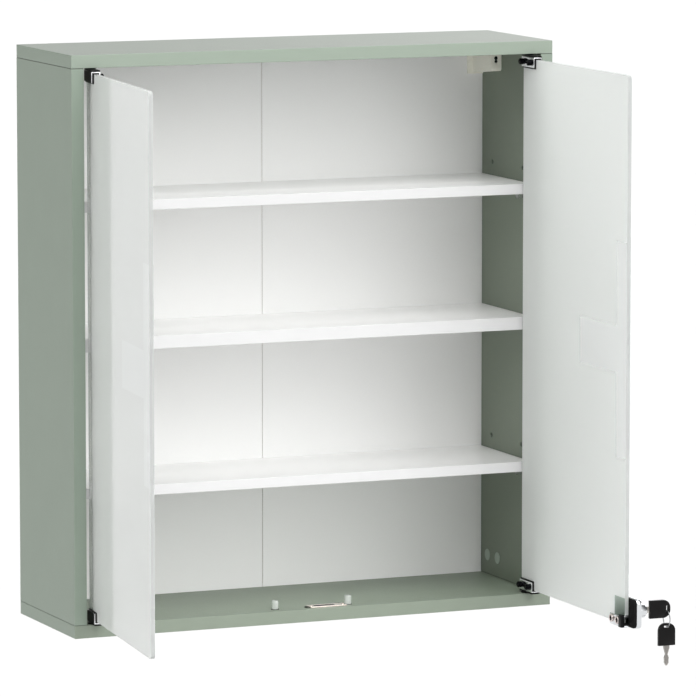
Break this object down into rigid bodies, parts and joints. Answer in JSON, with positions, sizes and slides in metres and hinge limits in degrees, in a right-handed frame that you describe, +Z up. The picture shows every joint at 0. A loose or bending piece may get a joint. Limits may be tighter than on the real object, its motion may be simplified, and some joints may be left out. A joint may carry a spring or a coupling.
{
  "type": "wall medicine cabinet",
  "caption": "Wall-hung glass door medicine cabinet, sage green with white shelves, frosted doors open on pivot hinges, key in the lock",
  "frame": {"origin": "middle of the top panel's rear edge, half way up its thickness, in the wall plane", "axes": "+X to the right of someone facing the doors, +Y into the wall, +Z up; the doors face -Y"},
  "size_m": [0.6463, 0.466, 0.7024],
  "materials": {
    "sage_melamine": "satin melamine on particle board",
    "white_melamine": "satin melamine on particle board",
    "white_hardboard": "white painted hardboard",
    "frosted_glass": "acid-frosted, with a cross left clear",
    "chrome": "polished plating",
    "black_nylon": "moulded, satin",
    "black_rubber": "matt",
    "black_oxide_steel": "blackened",
    "bright_steel": "nickelled",
    "copper_plate": "rose-coloured plating, polished",
    "clear_plastic": "clear to milky",
    "beige_plastic": "moulded, satin"
  },
  "bodies": {
    "carcass": {"top_panel": "sage_melamine", "bottom_panel": "sage_melamine", "left_side_panel": "sage_melamine", "right_side_panel": "sage_melamine", "back_panel_left": "white_hardboard", "back_panel_right": "white_hardboard", "upper_shelf": "white_melamine", "middle_shelf": "white_melamine", "lower_shelf": "white_melamine", "upper_shelf_pin_left_rear": "clear_plastic", "upper_shelf_pin_left_front": "clear_plastic", "upper_shelf_pin_right_rear": "clear_plastic", "upper_shelf_pin_right_front": "clear_plastic", "lower_shelf_pin_left_rear": "clear_plastic", "lower_shelf_pin_left_front": "clear_plastic", "lower_shelf_pin_right_rear": "clear_plastic", "lower_shelf_pin_right_front": "clear_plastic", "left_top_hinge_bush": "black_nylon", "left_bottom_hinge_bush": "black_nylon", "right_top_hinge_bush": "black_nylon", "right_bottom_hinge_bush": "black_nylon", "strike_plate": "copper_plate", "left_door_stop": "clear_plastic", "right_door_stop": "clear_plastic", "left_hanger_body": "beige_plastic", "right_hanger_body": "beige_plastic"},
    "left_door": {"left_door_glass": "frosted_glass", "left_top_hinge_clamp": "chrome", "left_top_hinge_insert": "black_nylon", "left_top_hinge_screw_rear": "black_oxide_steel", "left_top_hinge_screw_front": "black_oxide_steel", "left_bottom_hinge_clamp": "chrome", "left_bottom_hinge_insert": "black_nylon", "left_bottom_hinge_screw_rear": "black_oxide_steel", "left_bottom_hinge_screw_front": "black_oxide_steel"},
    "right_door": {"right_door_glass": "frosted_glass", "right_top_hinge_clamp": "chrome", "right_top_hinge_insert": "black_nylon", "right_top_hinge_screw_rear": "black_oxide_steel", "right_top_hinge_screw_front": "black_oxide_steel", "right_bottom_hinge_clamp": "chrome", "right_bottom_hinge_insert": "black_nylon", "right_bottom_hinge_screw_rear": "black_oxide_steel", "right_bottom_hinge_screw_front": "black_oxide_steel", "lock_housing": "chrome", "lock_pad": "black_rubber", "lock_case": "black_nylon", "lock_screw_near_bolt": "bright_steel", "lock_screw_far": "bright_steel"},
    "lock_cylinder": {"lock_barrel": "chrome"},
    "bolt": {"lock_bolt": "bright_steel"},
    "key": {"key_bow": "black_nylon", "key_blade": "bright_steel"},
    "ring": {"key_ring": "bright_steel"},
    "spare_key": {"spare_key_bow": "black_nylon", "spare_key_blade": "bright_steel"},
    "left_hook": {"left_hanger_hook": "bright_steel"},
    "right_hook": {"right_hanger_hook": "bright_steel"},
    "left_screw": {"left_hanger_screw": "bright_steel"},
    "right_screw": {"right_hanger_screw": "bright_steel"}
  },
  "joints": [
    {"name": "left_door_swing", "type": "hinge", "parent": "carcass", "child": "left_door", "pos_m": [-0.2737, -0.1763, -0.3275], "axis": [0, 0, -1], "range_deg": [-96.5, 18.5]},
    {"name": "right_door_swing", "type": "hinge", "parent": "carcass", "child": "right_door", "pos_m": [0.2737, -0.1763, -0.3275], "axis": [0, 0, 1], "range_deg": [-90, 25]},
    {"name": "lock_turn", "type": "hinge", "parent": "right_door", "child": "lock_cylinder", "pos_m": [0.3015, -0.44, -0.6285], "axis": [1, 0, 0], "range_deg": [0, 90]},
    {"name": "bolt_throw", "type": "slide", "parent": "right_door", "child": "bolt", "axis": [0, 0, -1], "range_m": [0, 0.0055]},
    {"name": "key_pull", "type": "slide", "parent": "lock_cylinder", "child": "key", "axis": [1, 0, 0], "range_m": [0, 0.024]},
    {"name": "ring_hang", "type": "hinge", "parent": "key", "child": "ring", "pos_m": [0.32885, -0.44, -0.63523], "axis": [1, 0, 0], "range_deg": [-90, 0]},
    {"name": "spare_key_swing", "type": "hinge", "parent": "ring", "child": "spare_key", "pos_m": [0.32885, -0.44, -0.6492], "axis": [0, 1, 0], "range_deg": [-30, 30]},
    {"name": "left_hanger_screw_turn", "type": "hinge", "parent": "carcass", "child": "left_screw", "pos_m": [-0.278, -0.0695, -0.0205], "axis": [0, 1, 0], "range_deg": [-1440, 1440]},
    {"name": "left_hook_lift", "type": "slide", "parent": "carcass", "child": "left_hook", "axis": [0, 0, 1], "range_m": [-0.004, 0.004]},
    {"name": "right_hanger_screw_turn", "type": "hinge", "parent": "carcass", "child": "right_screw", "pos_m": [0.278, -0.0695, -0.0205], "axis": [0, 1, 0], "range_deg": [-1440, 1440]},
    {"name": "right_hook_lift", "type": "slide", "parent": "carcass", "child": "right_hook", "axis": [0, 0, 1], "range_m": [-0.004, 0.004]}
  ],
  "couplings": [
    {"joint": "lock_turn", "follows": "bolt_throw", "rad_per_m": 285.6},
    {"joint": "ring_hang", "follows": "bolt_throw", "rad_per_m": -285.6},
    {"joint": "left_hanger_screw_turn", "follows": "left_hook_lift", "rad_per_m": 6283.2},
    {"joint": "right_hanger_screw_turn", "follows": "right_hook_lift", "rad_per_m": 6283.2}
  ]
}
